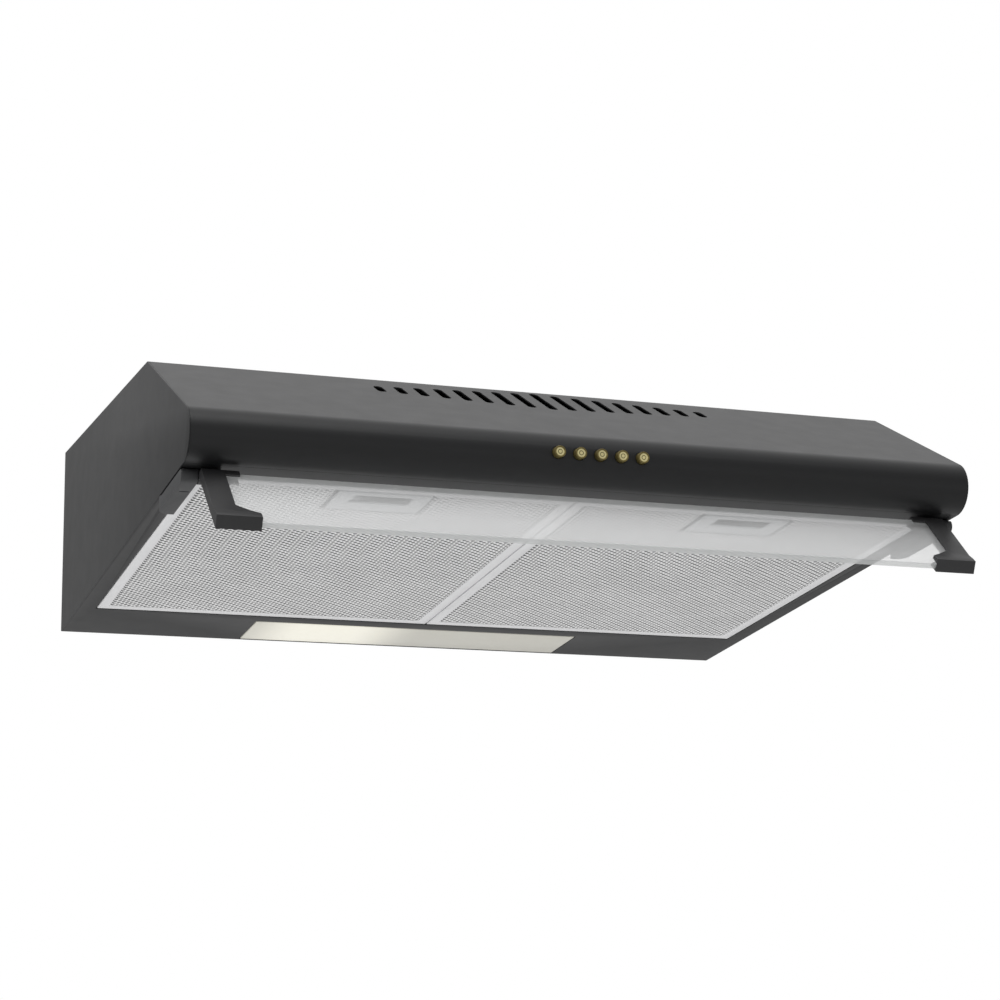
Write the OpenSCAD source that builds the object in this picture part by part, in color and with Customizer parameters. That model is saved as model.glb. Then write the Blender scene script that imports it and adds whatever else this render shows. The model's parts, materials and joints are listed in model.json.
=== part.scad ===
// Under-cabinet range hood with a tilting glass visor.
//
// Pieces are drawn from the corner where the wall meets the hood's lowest edge:
// X runs across, the front is towards -Y and Z is up. place() then carries each
// piece so that the origin is the centre of the cabinet bolt holes on the top face.
// The underside slopes up towards the front, and on_under() turns its pieces with it:
// there -Y runs along the underside from the wall and Z points into the hood.

/* [Body] */
// Overall width
body_w = 600; // [500:1:900]
// Depth from the wall to the front of the nose
body_d = 484; // [460:1:600]
// Height at the wall
body_h = 155; // [150:1:200]
// Depth of the front part that slopes down to the nose
slope_d = 145; // [125:1:150]
// Radius of the round nose
nose_r = 20.3; // [19:0.1:23]
// Height of the nose's centre above the lowest edge
nose_z = 73.9; // [70:0.1:78]
// Thickness of the sheet steel
sheet = 1; // [0.8:0.1:1.2]

/* [Underside] */
// Distance from the wall edge to the filters
filter_back = 80.5; // [80:0.5:90]
// Length of the flange between the filters and the nose
front_flange = 28; // [26:0.5:34]
// Width of the strip beside the filters
side_strip = 15.5; // [15:0.5:20]
// Gap between the two filters
filter_gap = 1.6; // [1:0.1:3]
// Thickness of a filter cassette
filter_t = 9; // [8.6:0.1:10]
// Width of a filter's bright border
border_w = 8.5; // [7:0.5:10]
// Gap round a filter in its bay
bay_gap = 0.8; // [0.6:0.1:1.5]

/* [Latch] */
// Width of a latch plate
latch_w = 70; // [62:1:80]
// Length of a latch plate
latch_l = 41; // [40:1:44]
// Width of the finger recess
recess_w = 42; // [36:0.2:48]
// Length of the finger recess
recess_l = 10.8; // [9:0.1:11]
// Travel of the latch slide
latch_travel = 5; // [4:0.1:5]

/* [Vents] */
// Number of vent slots
slot_n = 17; // [9:2:21]
// Spacing of the vent slots
slot_pitch = 16.3; // [12:0.1:18]
// Width of a vent slot
slot_w = 7; // [4:0.5:9]
// Length of the middle slot
slot_len = 54; // [50:1:60]

/* [Buttons] */
// Spacing of the buttons
button_pitch = 16.1; // [14.5:0.1:20]
// Radius of a button cap
button_r = 4.3; // [3.6:0.1:4.6]
// How far a button stands out of the nose
button_out = 4.6; // [4:0.1:6]

/* [Lamp] */
// Width of the lamp cover
lamp_w = 289; // [240:1:320]
// Length of the lamp cover from back to front
lamp_l = 57.8; // [56:0.1:60]
// Radius of the lamp's glass
lamp_r = 11; // [8:0.5:13]

/* [Visor] */
// Angle of the visor below the horizontal
visor_rest = 42; // [35:1:60]
// Length of a bracket from the pivot to its foot
visor_len = 72.4; // [68:0.1:80]
// Thickness of the glass
glass_t = 4.5; // [4:0.1:5]
// Width of a bracket's arm
arm_w = 16; // [14:0.5:20]
// Width of a bracket's foot
foot_w = 31.8; // [26:0.1:40]
// Radius of the pivot barrels
barrel_r = 5.2; // [4.5:0.1:6]
// Radius of the pivot pins
pivot_r = 2; // [1.5:0.1:2.5]

/* [Blower] */
// Radius of the impeller
wheel_r = 75; // [60:1:80]
// Height of the impeller
wheel_h = 39; // [30:1:40]
// Number of impeller blades
blade_n = 32; // [16:1:44]
// Radius of the motor shaft
shaft_r = 4; // [3:0.1:5]
// Radius of the motor's stator
stator_r = 42; // [38:1:44]

/* [Duct] */
// Outer radius of the duct collar
duct_r = 59.5; // [50:0.5:60]
// Height of the duct collar above the top
duct_h = 25; // [22:1:60]
// Distance from the wall to the duct's axis
duct_back = 75; // [73:1:80]
// Radius of the flap pin
flap_pin_r = 1.5; // [1.2:0.1:2]

/* [Mounting] */
// Spacing of the cabinet bolts across
bolt_x = 480; // [400:5:480]
// Spacing of the cabinet bolts from back to front
bolt_y = 240; // [200:5:250]
// Distance from the wall to the middle of the cabinet bolts
bolt_back = 170; // [165:1:180]
// Radius of the cabinet bolt holes
bolt_r = 2.75; // [2:0.05:4]
// Spacing of the wall screw holes
wall_x = 440; // [380:5:460]
// Radius of the wall screw holes
wall_r = 3; // [2.5:0.1:4]
// Radius of the hole for the supply cord
cord_r = 4.5; // [3.5:0.1:5]

/* [Clearances] */
// Running clearance of a pin in its bore
run = 0.06; // [0.03:0.01:0.1]
// Gap between pieces that move past each other
move = 0.6; // [0.4:0.1:0.8]
// Clearance of a piece that is pushed or clipped into another
slip = 0.1; // [0.05:0.05:0.2]

/* [Hidden] */
$fn = 64;
eps = 0.01;

// Nose, slope and underside, in the plane across the hood's depth
half_w = body_w / 2;
inner_w = body_w - 2 * sheet;
nose_y = -(body_d - nose_r);
nose_far = norm([nose_y, nose_z]);
under_tilt = atan2(nose_z, -nose_y) - asin(nose_r / nose_far);
under_len = sqrt(nose_far * nose_far - nose_r * nose_r);
top_y = -(body_d - slope_d);
slope_far = norm([nose_y - top_y, nose_z - body_h]);
slope_tilt = atan2(body_h - nose_z, top_y - nose_y) - asin(nose_r / slope_far);
button_z = nose_z + 2.1;
nose_blend = 0.05;

// Filter bay, as distances along the underside
seam = 0.4;
bay_back = filter_back - 1.9;
bay_front = under_len - front_flange;
filter_front = bay_front - bay_gap;
filter_w = half_w - side_strip - filter_gap / 2;
filter_mid = filter_gap / 2 + filter_w / 2;
bay_half = half_w - side_strip + bay_gap;
hem_h = 6;

// Lamp opening, as distances along the underside
lamp_back = 3.2;
lamp_front = lamp_back + lamp_l;
lamp_open_back = lamp_back - 0.6;
lamp_open_front = lamp_front + 2;
lamp_half = lamp_w / 2;
lamp_pan_gap = 1.5;
lamp_pan_h = 41;
pan_t = 0.8;
lamp_axis = [lamp_front - 2.4, 3.2];
lamp_pin_r = 1.2;
lamp_mid = 32;
lamp_z = 22;
lamp_glass_l = 80;

// Latch, as distances along the underside
latch_front = filter_front - border_w - 0.3;
latch_back = latch_front - latch_l;
slide_front = latch_front - 7.5;
slide_face_l = recess_l + 1.4;
slide_half = recess_w / 2 + 1.2;
slide_body_half = slide_half + 0.8;
slide_back = slide_front - slide_face_l - 9;
tongue_w = 12;
tongue_t = 0.6;

// Inner pan
pan_z = nose_z - 7.9;
pan_front = body_d - 72;

// Blower: the impeller turns counter-clockwise seen from above
fan_y = -235;
casing_z = pan_z + sheet;
wall = 2;
wheel_z = casing_z + wall + 4;
cutoff_gap = 8;
spiral_growth = 45;
casing_h = wheel_h + 13;
cover_z = casing_z + casing_h;
duct_half = 32;
fan_x = duct_half - wheel_r - cutoff_gap - spiral_growth;
spiral_steps = 40;
inlet_r = wheel_r - 13;
lug_angles = [100, 160, 230, 290];

// Motor, stacked upwards on the scroll cover
motor_z = cover_z + wall;
flange_t = 3;
motor_flange_r = 51;
post_r = 3.4;
post_circle = stator_r + post_r;
stator_z = motor_z + 7;
stator_t = 16;
coil_t = 3.5;
air_gap = 0.5;
rotor_r = 22.3;
motor_top = motor_z + 27;
bush_r = 7;
boss_r = 10;
shaft_low = wheel_z + wheel_h - 14;
shaft_top = motor_top + flange_t - 0.5;

// Outlet box under the duct collar
box_half = 62;
box_y0 = -(duct_back - box_half);
box_y1 = -(duct_back + box_half);
box_front = box_y1 - wall;
box_top = body_h - sheet;
collar_t = 2;
// The collar's foot is this much wider than its wall, and stands this high above the top sheet
collar_step = 1.5;
collar_foot_h = 1;
collar_screw = 53;
flap_z = body_h + 8;
flap_t = 1.2;
flap_knuckle = 3;
flap_disc_r = duct_r - wall - 0.9;
window_w = 100;
window_z0 = motor_z + 5;
window_z1 = body_h - 6;
diverter_y = box_front - 4;
diverter_z = window_z0 - 1.5;
diverter_r = 2.5;
ear_r = diverter_r + 1;
ear_x = window_w / 2 + 6.5;
lever_x = box_half + wall + 2;
lever_t = 4;
lever_l = diverter_z - pan_z + 13;
diverter_open = 38;

// Screws are all the same self-tapping size
screw_r = 1.5;
screw_head_r = 2.9;
screw_head_t = 2;

// Electrical box and gland
gland_x = 150;
gland_y = -30;
term_w = 70;
term_d = 46;
term_z0 = body_h - 48;
term_t = 2;
lamp_wire = [-170, -40];
switch_wire_x = 60;
wire_hole_r = 6;

// Switch block
switch_w = 4 * button_pitch + 20;
switch_front = body_d - 15;
switch_l = 28;
switch_h = 17;
stem_r = 2.2;
button_flange_r = 5.4;
button_flange_y = -(body_d - 7);
flange_back_t = 1.5;

// Visor pivot
block_len = visor_len + 0.4;
pivot_along = under_len - 13.3;
pivot_under = -(barrel_r + 0.05);
arm_out = half_w - 13;
arm_in = arm_out - arm_w;
foot_in = arm_out - foot_w;
clip_in = arm_out - 26.5;
glass_low = 4.6;
glass_top = 8;
glass_end = visor_len - 2.4;
groove_depth = 8;
block_in = arm_out + move;
block_out = half_w - 0.5;
block_h = 10.5;
block_back = pivot_along - block_len;

// Height of the outer underside, or of a line inset into the hood, at a distance y
function under_z(y, inset = 0) =
  -(y - inset * sin(under_tilt)) * tan(under_tilt) + inset * cos(under_tilt);

// Height of the outer slope, or of a line inset into the hood, at a distance y
function slope_z(y, inset = 0) = body_h + (y - top_y) * tan(slope_tilt) - inset / cos(slope_tilt);

// Place in the hood's [y, z] plane of a point on the tilted underside
function under_pt(along, up) = [
  -along * cos(under_tilt) + up * sin(under_tilt),
  along * sin(under_tilt) + up * cos(under_tilt)
];

// Distance along the underside to the back panel's inner face, at a height over the underside
function back_along(up, off) = (sheet + off + up * sin(under_tilt)) / cos(under_tilt);

// Radius of the scroll's inner wall at an angle from its cutoff
function spiral_r(a) = wheel_r + cutoff_gap + spiral_growth * a / 360;

// Place of a button across the hood
function button_x(i) = (i - 3) * button_pitch;

module place() {
  translate([0, bolt_back, -body_h]) children();
}

module on_under() {
  rotate([-under_tilt, 0, 0]) children();
}

module on_slope() {
  translate([0, top_y, body_h]) rotate([slope_tilt, 0, 0]) children();
}

// Turns a [y, z] outline into a bar that runs across the hood, centred on x
module across(w, x = 0) {
  translate([x, 0, 0]) rotate([90, 0, 90]) linear_extrude(w, center = true) children();
}

// Plate in the underside's plan: x from x0 to x1, along the underside from a0 to a1
module plan(x0, x1, a0, a1) {
  translate([x0, -a1]) square([x1 - x0, a1 - a0]);
}

module slab(x0, x1, a0, a1, z0, z1) {
  translate([0, 0, z0]) linear_extrude(z1 - z0) plan(x0, x1, a0, a1);
}

// Outline of the hood seen from the side, moved inwards by inset
module silhouette(inset, back) {
  r = nose_r - inset;
  meet = r - nose_blend;
  polygon([
    [back, under_z(back, inset)],
    [back, body_h - inset],
    [top_y + inset * (1 / cos(slope_tilt) - 1) / tan(slope_tilt), body_h - inset],
    [nose_y - meet * sin(slope_tilt), nose_z + meet * cos(slope_tilt)],
    [nose_y, nose_z],
    [nose_y - meet * sin(under_tilt), nose_z - meet * cos(under_tilt)]
  ]);
  translate([nose_y, nose_z]) circle(r, $fn = 96);
}

// Slot with round ends that runs forward from a0 to a1
module slot(w, a0, a1) {
  translate([0, -(a0 + w / 2)]) circle(w / 2, $fn = 24);
  translate([0, -(a1 - w / 2)]) circle(w / 2, $fn = 24);
  plan(-w / 2, w / 2, a0 + w / 2, a1 - w / 2);
}

module screw(head_z, shank_l) {
  translate([0, 0, head_z]) cylinder(h = screw_head_t, r = screw_head_r);
  translate([0, 0, head_z - shank_l]) cylinder(h = shank_l + eps, r = screw_r);
}

// ---- Casing ----

module canopy() place() color([0.2, 0.2, 0.21]) difference() {
  across(inner_w) difference() {
    silhouette(0, 0);
    silhouette(sheet, 5);
    rotate(-under_tilt) translate([-under_len, -1]) square([under_len + 40, sheet + 1.2]);
  }
  mid = (slot_n - 1) / 2;
  for (i = [-mid : mid])
    on_slope() translate([i * slot_pitch, 0, -3]) linear_extrude(6)
      slot(slot_w, 5.7 + 2.3 * abs(i), 5.7 + slot_len - 2.1 * abs(i));
  for (i = [1 : 5])
    translate([button_x(i), -body_d - 1, button_z]) rotate([-90, 0, 0])
      cylinder(h = 12, r = button_r + 0.5, $fn = 48);
  translate([0, -duct_back, body_h - 5]) cylinder(h = 10, r = duct_r + collar_step + 0.3, $fn = 96);
  for (sx = [-1, 1], sy = [-1, 1]) {
    translate([sx * bolt_x / 2, -bolt_back + sy * bolt_y / 2, body_h - 5]) cylinder(h = 10, r = bolt_r);
    translate([sx * collar_screw, -duct_back + sy * collar_screw, body_h - 5]) cylinder(h = 10, r = screw_r);
  }
  translate([gland_x, gland_y, body_h - 5]) cylinder(h = 10, r = cord_r + 3.4);
}

module side_panel(side) place() color([0.22, 0.22, 0.23])
  across(sheet, side * (half_w - sheet / 2)) silhouette(0, 0);

module left_side() side_panel(-1);

module right_side() side_panel(1);

module back_panel() place() color([0.2, 0.2, 0.21]) difference() {
  across(inner_w) polygon([
    [0, 0],
    [0, body_h - sheet],
    [-sheet, body_h - sheet],
    [-sheet, under_z(-sheet)]
  ]);
  for (sx = [-1, 1])
    translate([sx * wall_x / 2, 5, body_h - 30]) rotate([90, 0, 0]) cylinder(h = 10, r = wall_r);
}

module underside_panel() place() on_under() color([0.2, 0.2, 0.21]) {
  edge = inner_w / 2;
  difference() {
    linear_extrude(sheet) difference() {
      plan(-edge, edge, sheet * 1.15, under_len - seam);
      plan(-bay_half, bay_half, bay_back, bay_front);
      plan(-lamp_half - 0.9, lamp_half + 0.9, lamp_open_back, lamp_open_front);
    }
    for (sx = [-1, 1], a = hinge_screw_places())
      translate([sx * (block_in + block_out) / 2, -a, -1]) cylinder(h = 5, r = screw_r + slip);
  }
  for (s = [-1, 1]) {
    x0 = s > 0 ? bay_half : -bay_half - sheet;
    slab(x0, x0 + sheet, bay_back, bay_front, sheet - eps, sheet + hem_h);
  }
  slab(-edge + 2, edge - 2, under_len - 2.4, under_len - 1.4, sheet - eps, sheet + hem_h + 2);
}

module centre_bar() place() on_under() color([0.75, 0.75, 0.76]) {
  foot = 14;
  rise = 5.5;
  top_half = 7;
  z0 = filter_t + 0.5;
  slab(-foot, -top_half, bay_back - 6, bay_front + 6, z0, z0 + sheet);
  slab(top_half, foot, bay_back - 6, bay_front + 6, z0, z0 + sheet);
  slab(-top_half - sheet, -top_half, bay_back - 6, bay_front + 6, z0, z0 + rise);
  slab(top_half, top_half + sheet, bay_back - 6, bay_front + 6, z0, z0 + rise);
  slab(-top_half - sheet, top_half + sheet, bay_back - 6, bay_front + 6, z0 + rise - sheet, z0 + rise);
  for (a = [bay_back - 6, bay_front + 2])
    slab(-top_half - sheet, top_half + sheet, a, a + 4, sheet, z0 + rise);
}

module inner_pan() place() color([0.55, 0.56, 0.58]) difference() {
  lip = 12;
  across(inner_w) polygon([
    [-sheet, pan_z],
    [-sheet, pan_z + sheet],
    [-pan_front + sheet, pan_z + sheet],
    [-pan_front + sheet, slope_z(-pan_front + sheet, sheet + slip)],
    [-pan_front - lip, slope_z(-pan_front - lip, sheet + slip)],
    [-pan_front - lip, slope_z(-pan_front - lip, 2 * sheet + slip)],
    [-pan_front, slope_z(-pan_front, 2 * sheet + slip)],
    [-pan_front, pan_z]
  ]);
  translate([fan_x, fan_y, pan_z - 5]) cylinder(h = 10, r = inlet_r + 3, $fn = 96);
  translate([lever_x - 1.5, diverter_y - 4, pan_z - 5])
    cube([lever_t + 3, lever_l * sin(diverter_open) + 12, 10]);
  translate([lamp_wire[0], lamp_wire[1], pan_z - 5]) cylinder(h = 10, r = wire_hole_r);
  translate([switch_wire_x, -pan_front + 10, pan_z + 10]) rotate([90, 0, 0])
    cylinder(h = 20, r = wire_hole_r);
}

// ---- Blower ----

// Plan outline of the scroll's inside, grown outwards by grow
module scroll_outline(grow) {
  start = 30;
  points = [
    for (i = [0 : spiral_steps])
      let (a = start + (360 - start) * i / spiral_steps, r = spiral_r(a) + grow)
      [r * cos(a), r * sin(a)]
  ];
  translate([fan_x, fan_y]) polygon(concat([[0, 0]], points));
  translate([fan_x, fan_y]) circle(wheel_r + cutoff_gap + grow, $fn = 96);
  translate([-duct_half - grow, fan_y - 3]) square([2 * duct_half - 1 + 2 * grow, box_front - fan_y + 3]);
}

module scroll_inside() {
  intersection() {
    scroll_outline(0);
    translate([-400, box_front - 400]) square([800, 400]);
  }
}

module scroll_lugs() {
  for (a = lug_angles)
    translate([fan_x, fan_y]) rotate(a) translate([spiral_r(a) + 5, 0]) circle(4.6, $fn = 40);
}

module scroll_lug_holes(r) {
  for (a = lug_angles)
    translate([fan_x, fan_y]) rotate(a) translate([spiral_r(a) + 5, 0]) circle(r, $fn = 40);
}

module scroll_casing() place() color([0.14, 0.14, 0.15]) difference() {
  translate([0, 0, casing_z]) linear_extrude(casing_h) difference() {
    union() {
      scroll_outline(wall);
      scroll_lugs();
    }
    scroll_lug_holes(screw_r);
  }
  translate([0, 0, casing_z + wall]) linear_extrude(casing_h) scroll_inside();
  translate([fan_x, fan_y, casing_z - 5]) cylinder(h = 10, r = inlet_r, $fn = 96);
}

module scroll_cover() place() color([0.16, 0.16, 0.17]) translate([0, 0, cover_z]) linear_extrude(wall)
  difference() {
    union() {
      scroll_outline(wall);
      scroll_lugs();
    }
    scroll_lug_holes(screw_r + slip);
    translate([fan_x, fan_y]) circle(boss_r + 1);
    motor_post_places() circle(screw_r, $fn = 40);
  }

module at_motor_posts() {
  for (a = [45 : 90 : 315])
    rotate(a) translate([post_circle, 0]) children();
}

module motor_post_places() {
  translate([fan_x, fan_y]) at_motor_posts() children();
}

module inlet_grille() place() color([0.14, 0.14, 0.15]) translate([fan_x, fan_y, pan_z - 3]) {
  ring_w = 2.4;
  for (r = [16 : 16 : inlet_r])
    linear_extrude(2) difference() {
      circle(r + ring_w / 2, $fn = 72);
      circle(r - ring_w / 2, $fn = 72);
    }
  linear_extrude(3) difference() {
    circle(inlet_r + 9, $fn = 96);
    circle(inlet_r + 1, $fn = 96);
  }
  for (a = [0 : 45 : 135])
    rotate(a) linear_extrude(2) square([2 * inlet_r + 4, ring_w], center = true);
}

module impeller() place() color([0.75, 0.76, 0.78]) translate([fan_x, fan_y, wheel_z]) difference() {
  union() {
    linear_extrude(2) difference() {
      circle(wheel_r, $fn = 96);
      circle(wheel_r - 13, $fn = 96);
    }
    linear_extrude(wheel_h) for (i = [0 : blade_n - 1])
      rotate(i * 360 / blade_n) translate([wheel_r - 7, 0]) rotate(-28) square([12.5, 1.2], center = true);
    translate([0, 0, wheel_h - 2]) cylinder(h = 2, r = wheel_r, $fn = 96);
    translate([0, 0, wheel_h - 16]) cylinder(h = 15, r = 9);
  }
  translate([0, 0, wheel_h - 20]) cylinder(h = 30, r = shaft_r);
}

module rotor() place() color([0.6, 0.6, 0.62]) translate([fan_x, fan_y, 0]) difference() {
  translate([0, 0, stator_z - 1]) cylinder(h = stator_t + 2, r = rotor_r);
  translate([0, 0, stator_z - 5]) cylinder(h = stator_t + 10, r = shaft_r);
}

module motor_shaft() place() color([0.8, 0.8, 0.82])
  translate([fan_x, fan_y, shaft_low]) cylinder(h = shaft_top - shaft_low, r = shaft_r);

module motor_stator() place() color([0.45, 0.46, 0.48]) translate([fan_x, fan_y, stator_z])
  linear_extrude(stator_t) difference() {
    union() {
      circle(stator_r, $fn = 96);
      at_motor_posts() circle(post_r + 2);
    }
    circle(rotor_r + air_gap, $fn = 96);
    at_motor_posts() circle(post_r + slip);
  }

module motor_windings() place() color([0.72, 0.38, 0.2]) translate([fan_x, fan_y, 0])
  for (z = [stator_z - coil_t, stator_z + stator_t])
    translate([0, 0, z]) linear_extrude(coil_t) difference() {
      circle(stator_r - 4, $fn = 96);
      circle(rotor_r + 3, $fn = 96);
    }

module motor_lower_bracket() place() color([0.7, 0.71, 0.73]) difference() {
  translate([fan_x, fan_y, motor_z]) {
    cylinder(h = flange_t, r = motor_flange_r, $fn = 96);
    translate([0, 0, -6]) cylinder(h = 6, r = boss_r);
  }
  translate([fan_x, fan_y, motor_z - 10]) cylinder(h = 20, r = bush_r);
  translate([0, 0, motor_z - 1]) linear_extrude(8) motor_post_places() circle(screw_r + slip, $fn = 40);
}

module motor_upper_bracket() place() color([0.7, 0.71, 0.73]) difference() {
  union() {
    translate([fan_x, fan_y, motor_top]) cylinder(h = flange_t, r = stator_r - 4, $fn = 96);
    translate([0, 0, motor_top]) linear_extrude(flange_t) difference() {
      for (a = [45, 135])
        translate([fan_x, fan_y]) rotate(a) square([2 * post_circle, 2 * post_r], center = true);
      motor_post_places() circle(screw_r + slip, $fn = 40);
    }
    translate([0, 0, motor_z + flange_t]) linear_extrude(motor_top - motor_z) difference() {
      motor_post_places() circle(post_r);
      motor_post_places() circle(screw_r + slip, $fn = 40);
    }
  }
  translate([fan_x, fan_y, motor_top - 5]) cylinder(h = 20, r = bush_r);
}

module motor_bushes() place() color([0.7, 0.55, 0.3])
  for (zh = [[motor_z - 6, flange_t + 6], [motor_top, flange_t]])
    translate([fan_x, fan_y, zh[0]]) linear_extrude(zh[1]) difference() {
      circle(bush_r);
      circle(shaft_r + run);
    }

module motor_screws() place() color([0.8, 0.8, 0.82])
  motor_post_places() translate([0, 0, motor_top + flange_t]) screw(0, motor_top + flange_t - cover_z - 0.2);

// ---- Outlet and duct ----

module outlet_box() place() color([0.14, 0.14, 0.15]) difference() {
  union() {
    translate([-box_half - wall, box_front, casing_z])
      cube([2 * (box_half + wall), box_y0 + wall - box_front, box_top - casing_z]);
    for (s = [-1, 1])
      translate([s * ear_x, 0, 0]) rotate([90, 0, 90]) linear_extrude(3, center = true) {
        translate([diverter_y, diverter_z]) circle(ear_r);
        translate([diverter_y, diverter_z - ear_r]) square([box_front - diverter_y + eps, 2 * ear_r]);
      }
  }
  translate([-box_half, box_y1, casing_z + wall])
    cube([2 * box_half, box_y0 - box_y1, box_top - casing_z]);
  translate([-duct_half, box_front - 1, casing_z + wall]) cube([2 * duct_half, 10, casing_h - wall]);
  translate([-window_w / 2, box_front - 1, window_z0]) cube([window_w, 10, window_z1 - window_z0]);
  for (s = [-1, 1])
    translate([s * ear_x - 4, diverter_y, diverter_z]) rotate([0, 90, 0])
      cylinder(h = 8, r = diverter_r + run);
}

module diverter_flap() place() color([0.85, 0.85, 0.86]) {
  flap_w = window_w + 6;
  translate([-ear_x - 3, diverter_y, diverter_z]) rotate([0, 90, 0])
    cylinder(h = ear_x + 3 + lever_x + lever_t, r = diverter_r);
  translate([-flap_w / 2, box_front - 2.2, diverter_z]) cube([flap_w, 1.6, window_z1 + 3 - diverter_z]);
  translate([-flap_w / 2, diverter_y, diverter_z]) cube([flap_w, 3.4, 1.6]);
  across(lever_t, lever_x + lever_t / 2) {
    translate([diverter_y, diverter_z]) circle(5);
    translate([diverter_y - 2, diverter_z - lever_l]) square([4, lever_l]);
    translate([diverter_y, diverter_z - lever_l]) circle(3.5);
  }
}

module duct_collar() place() color([0.14, 0.14, 0.15]) translate([0, -duct_back, 0]) difference() {
  union() {
    translate([-box_half + 0.2, -box_half + 0.2, box_top - collar_t])
      cube([2 * box_half - 0.4, 2 * box_half - 0.4, collar_t]);
    translate([0, 0, box_top - collar_t])
      cylinder(h = collar_t + sheet + collar_foot_h, r = duct_r + collar_step, $fn = 128);
    translate([0, 0, body_h - eps]) cylinder(h = duct_h + eps, r = duct_r, $fn = 128);
  }
  translate([0, 0, box_top - 10]) cylinder(h = duct_h + 30, r = duct_r - wall, $fn = 128);
  translate([-duct_r - 5, 0, flap_z]) rotate([0, 90, 0]) cylinder(h = 2 * duct_r + 10, r = flap_pin_r);
  for (sx = [-1, 1], sy = [-1, 1])
    translate([sx * collar_screw, sy * collar_screw, box_top - 5]) cylinder(h = 10, r = screw_r + slip);
}

module flap_pin() place() color([0.8, 0.8, 0.82])
  translate([-duct_r + 0.5, -duct_back, flap_z]) rotate([0, 90, 0])
    cylinder(h = 2 * duct_r - 1, r = flap_pin_r);

// Half disc with two knuckles: side is 1 for the flap nearer the wall
module return_flap(side) place() color([0.3, 0.3, 0.31]) translate([0, -duct_back, flap_z]) {
  gap = flap_knuckle + 0.4;
  zones = side > 0 ? [[-50, -27], [2, 25]] : [[-25, -2], [27, 50]];
  translate([0, 0, -flap_t / 2]) linear_extrude(flap_t) intersection() {
    circle(flap_disc_r, $fn = 96);
    translate([-flap_disc_r, side > 0 ? gap : -gap - flap_disc_r]) square([2 * flap_disc_r, flap_disc_r]);
  }
  for (z = zones) {
    translate([z[0], side > 0 ? flap_knuckle - 1 : -gap - 0.5, -flap_t / 2])
      cube([z[1] - z[0], gap - flap_knuckle + 1.5, flap_t]);
    translate([z[0], 0, 0]) rotate([0, 90, 0]) difference() {
      cylinder(h = z[1] - z[0], r = flap_knuckle);
      translate([0, 0, -1]) cylinder(h = 30, r = flap_pin_r + run);
    }
  }
}

module rear_flap() return_flap(1);

module front_flap() return_flap(-1);

// ---- Electrical parts ----

module capacitor() place() color([0.85, 0.85, 0.83]) translate([130, -230, casing_z]) {
  translate([0, 0, 15]) rotate([90, 0, 0]) cylinder(h = 52, r = 14);
  translate([0, 0, 15]) rotate([90, 0, 0]) translate([0, 0, -5]) cylinder(h = 5.01, r = 5);
  translate([-8, -36, 0]) cube([16, 20, 3]);
}

module terminal_box() place() color([0.82, 0.82, 0.8]) difference() {
  translate([gland_x - term_w / 2, -sheet - term_d, term_z0])
    cube([term_w, term_d, body_h - sheet - 2 - term_z0]);
  translate([gland_x - term_w / 2 + term_t, -sheet - term_d - 1, term_z0 + term_t])
    cube([term_w - 2 * term_t, term_d - term_t + 1, body_h - sheet - 2 - term_z0 - 2 * term_t]);
  translate([gland_x, gland_y, body_h - 20]) cylinder(h = 30, r = cord_r + 3.4);
  translate([gland_x, gland_y, term_z0 - 5]) cylinder(h = 10, r = 5);
}

module terminal_lid() place() color([0.88, 0.88, 0.86]) {
  translate([gland_x - term_w / 2, -sheet - term_d - term_t, term_z0])
    cube([term_w, term_t, body_h - sheet - 2 - term_z0]);
  translate([gland_x - term_w / 2 + term_t + slip, -sheet - term_d - eps, term_z0 + term_t + slip])
    cube([term_w - 2 * term_t - 2 * slip, 3, 6]);
}

module cable_gland() place() color([0.1, 0.1, 0.1]) translate([gland_x, gland_y, 0]) difference() {
  union() {
    translate([0, 0, body_h - sheet - 9]) cylinder(h = 9 + sheet, r = cord_r + 3.3);
    translate([0, 0, body_h - sheet - 2]) cylinder(h = 2, r = cord_r + 7);
  }
  translate([0, 0, body_h - 30]) cylinder(h = 40, r = cord_r);
}

// Point on a smooth curve between p1 and p2, with t from 0 to 1
function curve_pt(p0, p1, p2, p3, t) =
  0.5 * (2 * p1 + (p2 - p0) * t + (2 * p0 - 5 * p1 + 4 * p2 - p3) * t * t
    + (3 * p1 - p0 - 3 * p2 + p3) * t * t * t);

// Smooth path through points, with n steps between neighbours
function smooth_path(points, n) =
  let (last = len(points) - 1)
  concat(
    [
      for (i = [0 : last - 1], k = [0 : n - 1])
        curve_pt(points[max(i - 1, 0)], points[i], points[i + 1], points[min(i + 2, last)], k / n)
    ],
    [points[last]]
  );

function unit(v) = v / norm(v);

// Side faces of a tube of rings, each with this many points
function tube_faces(rings, sides) = concat(
  [
    for (i = [0 : rings - 2], k = [0 : sides - 1])
      let (a = i * sides + k, b = i * sides + (k + 1) % sides)
      [a, b, b + sides, a + sides]
  ],
  [
    [for (k = [sides - 1 : -1 : 0]) k],
    [for (k = [0 : sides - 1]) (rings - 1) * sides + k]
  ]
);

// Round wire that follows a smooth path through a list of points
module wire(points, r) {
  sides = 8;
  reference = [0.5, 0.6, 0.62];
  path = smooth_path(points, 4);
  last = len(path) - 1;
  rings = [
    for (i = [0 : last])
      let (
        along = unit(path[min(i + 1, last)] - path[max(i - 1, 0)]),
        u = unit(cross(along, reference)),
        v = cross(along, u)
      )
      for (k = [0 : sides - 1]) path[i] + r * (cos(360 * k / sides) * u + sin(360 * k / sides) * v)
  ];
  polyhedron(rings, tube_faces(last + 1, sides));
}

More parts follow.
